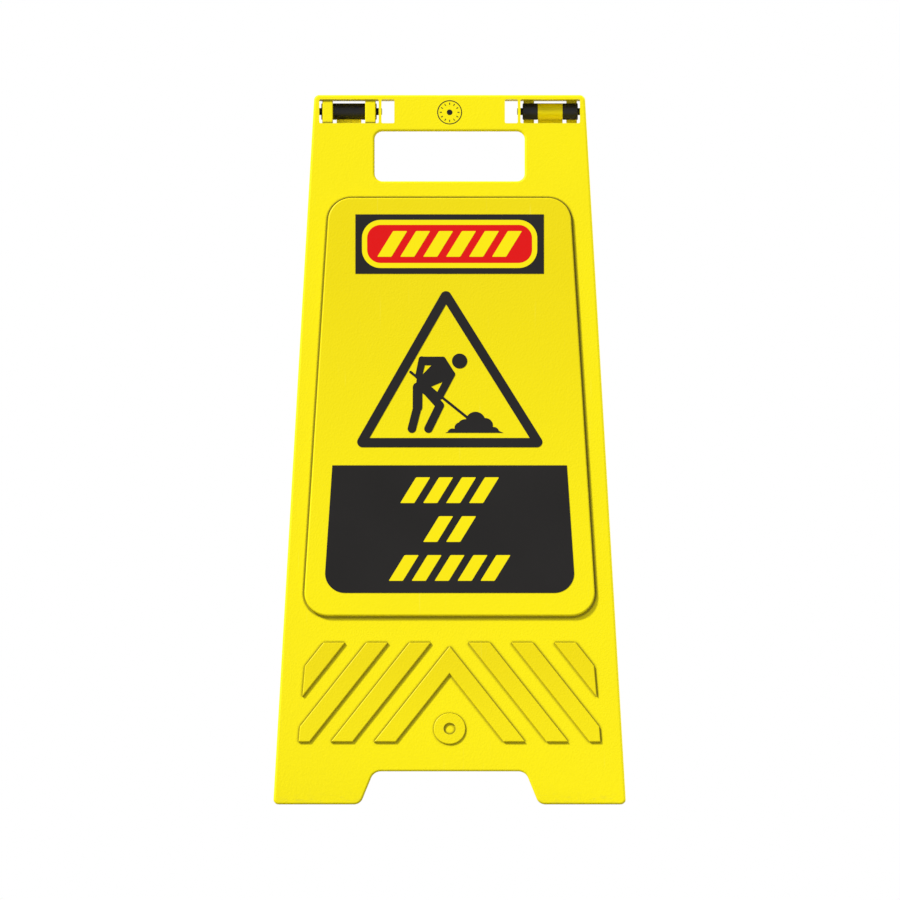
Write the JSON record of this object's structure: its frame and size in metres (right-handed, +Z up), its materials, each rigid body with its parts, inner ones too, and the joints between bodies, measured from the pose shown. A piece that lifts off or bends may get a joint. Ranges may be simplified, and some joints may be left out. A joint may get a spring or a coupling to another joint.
{
  "type": "a-frame caution sign",
  "caption": "Folding A-frame floor sign: moulded boards hinged at the top, with a handle slot, raised sign field, chevron bars and notched feet.",
  "frame": {"origin": "on the floor, midway between the two boards and midway across them", "axes": "+Z up, +X across the boards, front board towards -Y"},
  "size_m": [0.2994, 0.3108, 0.6029],
  "materials": {
    "board_yellow": "moulded polypropylene, fine satin grain",
    "pin_black": "black moulded nylon, satin",
    "film_black": "self-adhesive vinyl, semi-gloss",
    "film_yellow": "self-adhesive vinyl, semi-gloss",
    "film_red": "self-adhesive vinyl, semi-gloss",
    "badge_yellow": "plain moulded disc, smoother than the board"
  },
  "bodies": {
    "front": {"front_board": "board_yellow", "front_hinge_pin": "pin_black", "front_warning_triangle": "film_black", "front_digger_figure": "film_black", "front_digger_head": "film_black", "front_message_plate": "film_black", "front_badge": "badge_yellow", "front_header_plate": "film_black", "front_header_ring": "film_yellow", "front_header_field": "film_red"},
    "rear": {"rear_board": "board_yellow", "rear_hinge_pin": "pin_black", "rear_warning_triangle": "film_black", "rear_digger_figure": "film_black", "rear_digger_head": "film_black", "rear_message_plate": "film_black", "rear_badge": "badge_yellow", "rear_header_plate": "film_black", "rear_header_ring": "film_yellow", "rear_header_field": "film_red"}
  },
  "joints": [
    {"name": "fold", "type": "hinge", "parent": "front", "child": "rear", "pos_m": [0, 0, 0.58891], "axis": [-1, 0, 0], "range_deg": [0, 27]}
  ]
}
